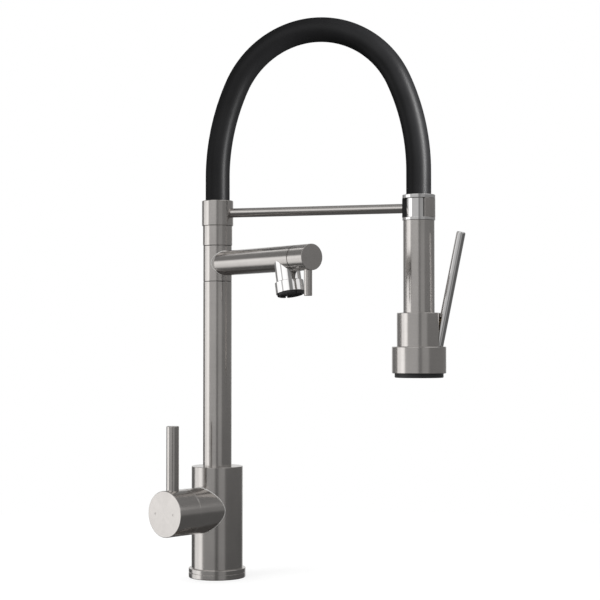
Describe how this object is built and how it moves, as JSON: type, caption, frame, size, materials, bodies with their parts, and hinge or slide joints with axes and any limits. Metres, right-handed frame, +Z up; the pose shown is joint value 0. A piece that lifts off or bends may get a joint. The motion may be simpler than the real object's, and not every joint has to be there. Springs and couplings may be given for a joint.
{
  "type": "pre rinse faucet",
  "caption": "Deck-mounted mixer tap with a black hose arch, a docked pull-off lever spray, and a second swivelling spout with its own shut-off knob.",
  "frame": {"origin": "on the worktop's upper face, at the axis of the column and of the fixing shank", "axes": "+Z up along the column; +X from the column to the docked spray; the handle is toward -Y and the second spout between +X and -Y"},
  "size_m": [0.295, 0.1286, 0.6037],
  "materials": {
    "brushed_steel": "stainless steel brushed round each turned piece, warm grey, satin",
    "polished_steel": "polished and plated, mirror bright with sharp vertical reflections",
    "hose_rubber": "satin black, smooth, with a broad soft highlight",
    "inner_hose_rubber": "grey drinking-water hose, matt",
    "black_plastic": "moulded black nylon, fine matt grain",
    "nylon": "black low-friction nylon, matt",
    "brass": "machined brass, threads left out",
    "ceramic": null,
    "seal_rubber": "black sealing rubber, matt",
    "steel_hardware": "plain stainless steel, as drawn or turned"
  },
  "bodies": {
    "base": {"base_flange": "brushed_steel", "deck_gasket": "seal_rubber", "mounting_shank": "brass", "tap_body": "brushed_steel", "valve_barrel": "brushed_steel", "column_tube": "brushed_steel", "cartridge_seals": "seal_rubber", "cartridge_housing": "nylon", "fixed_disc": "ceramic", "cartridge_retainer": "brushed_steel", "swivel_spigot": "brass", "swivel_orings": "seal_rubber", "slip_washers": "nylon", "swivel_circlip": "steel_hardware"},
    "deck_fixing": {"clamp_seal": "seal_rubber", "clamp_washer": "steel_hardware", "fixing_nut": "brass"},
    "mixer_turner": {"cartridge_turner": "nylon", "cartridge_pin": "steel_hardware"},
    "flow_disc": {"moving_disc": "ceramic"},
    "handle": {"cartridge_lever": "steel_hardware", "handle_cap": "brushed_steel", "handle_pin": "brushed_steel", "handle_grub_screw": "steel_hardware"},
    "spout": {"spout_arm": "brushed_steel", "outlet_neck": "polished_steel", "aerator_ring": "polished_steel", "aerator_seal": "seal_rubber", "aerator_insert": "black_plastic", "spout_valve": "brass"},
    "spout_knob": {"knob_spindle": "brass", "knob_cap": "brushed_steel", "knob_pin": "brushed_steel", "knob_grub_screw": "steel_hardware"},
    "arch": {"upper_sleeve": "brushed_steel", "top_collar": "brushed_steel", "riser_fitting": "polished_steel", "hose_sleeve": "hose_rubber", "inner_hose": "inner_hose_rubber", "hose_ferrule": "steel_hardware", "support_rod": "brushed_steel", "dock_clip": "brushed_steel", "dock_liner": "nylon", "clip_screw": "steel_hardware"},
    "hose_end": {"hose_end_fitting": "polished_steel", "hose_end_ferrule": "steel_hardware"},
    "spray": {"dock_spool": "polished_steel", "swivel_clip": "steel_hardware", "grip_tube": "brushed_steel", "spray_collar": "brushed_steel", "spray_bell": "brushed_steel", "spray_valve_body": "brass", "spray_face": "black_plastic", "spray_oring": "seal_rubber", "trigger_pivot_pin": "steel_hardware"},
    "trigger": {"spray_lever": "polished_steel"},
    "plunger": {"valve_plunger": "steel_hardware", "plunger_spring": "steel_hardware"}
  },
  "joints": [
    {"name": "clamp_travel", "type": "slide", "parent": "base", "child": "deck_fixing", "axis": [0, 0, -1], "range_m": [-0.035, 0.008]},
    {"name": "temperature_turn", "type": "hinge", "parent": "base", "child": "mixer_turner", "pos_m": [0, 0, 0.0663], "axis": [-0.4067, -0.9135, 0], "range_deg": [-45, 45]},
    {"name": "flow_tilt", "type": "hinge", "parent": "mixer_turner", "child": "handle", "pos_m": [-0.0096, -0.02156, 0.0663], "axis": [0.9135, -0.4067, 0], "range_deg": [0, 20]},
    {"name": "flow_disc_slide", "type": "slide", "parent": "mixer_turner", "child": "flow_disc", "axis": [0, 0, 1], "range_m": [0, 0.0028]},
    {"name": "spout_swivel", "type": "hinge", "parent": "base", "child": "spout", "pos_m": [0, 0, 0.3053], "axis": [0, 0, 1], "continuous": true},
    {"name": "knob_turn", "type": "hinge", "parent": "spout", "child": "spout_knob", "pos_m": [0.10555, -0.0781, 0.3053], "axis": [0.8039, -0.5948, 0], "range_deg": [0, 90]},
    {"name": "arch_swivel", "type": "hinge", "parent": "base", "child": "arch", "pos_m": [0, 0, 0.3422], "axis": [0, 0, 1], "continuous": true},
    {"name": "spray_undock", "type": "slide", "parent": "arch", "child": "hose_end", "axis": [-0.0785, -0.9969, 0], "range_m": [0, 0.05], "deforming": ["hose_sleeve", "inner_hose", "dock_clip", "dock_liner"]},
    {"name": "spray_turn", "type": "hinge", "parent": "hose_end", "child": "spray", "pos_m": [0.2016, 0, 0.349], "axis": [0, 0, 1], "continuous": true},
    {"name": "trigger_squeeze", "type": "hinge", "parent": "spray", "child": "trigger", "pos_m": [0.2187, 0, 0.216], "axis": [0, -1, 0], "range_deg": [0, 7], "stiffness_Nm_per_rad": 0.5, "springref_deg": -5.73},
    {"name": "plunger_slide", "type": "slide", "parent": "spray", "child": "plunger", "axis": [-1, 0, 0], "range_m": [0, 0.0028], "deforming": ["plunger_spring"]}
  ],
  "couplings": [
    {"joint": "flow_disc_slide", "follows": "flow_tilt", "m_per_rad": 0.0076},
    {"joint": "plunger_slide", "follows": "trigger_squeeze", "m_per_rad": 0.022}
  ]
}
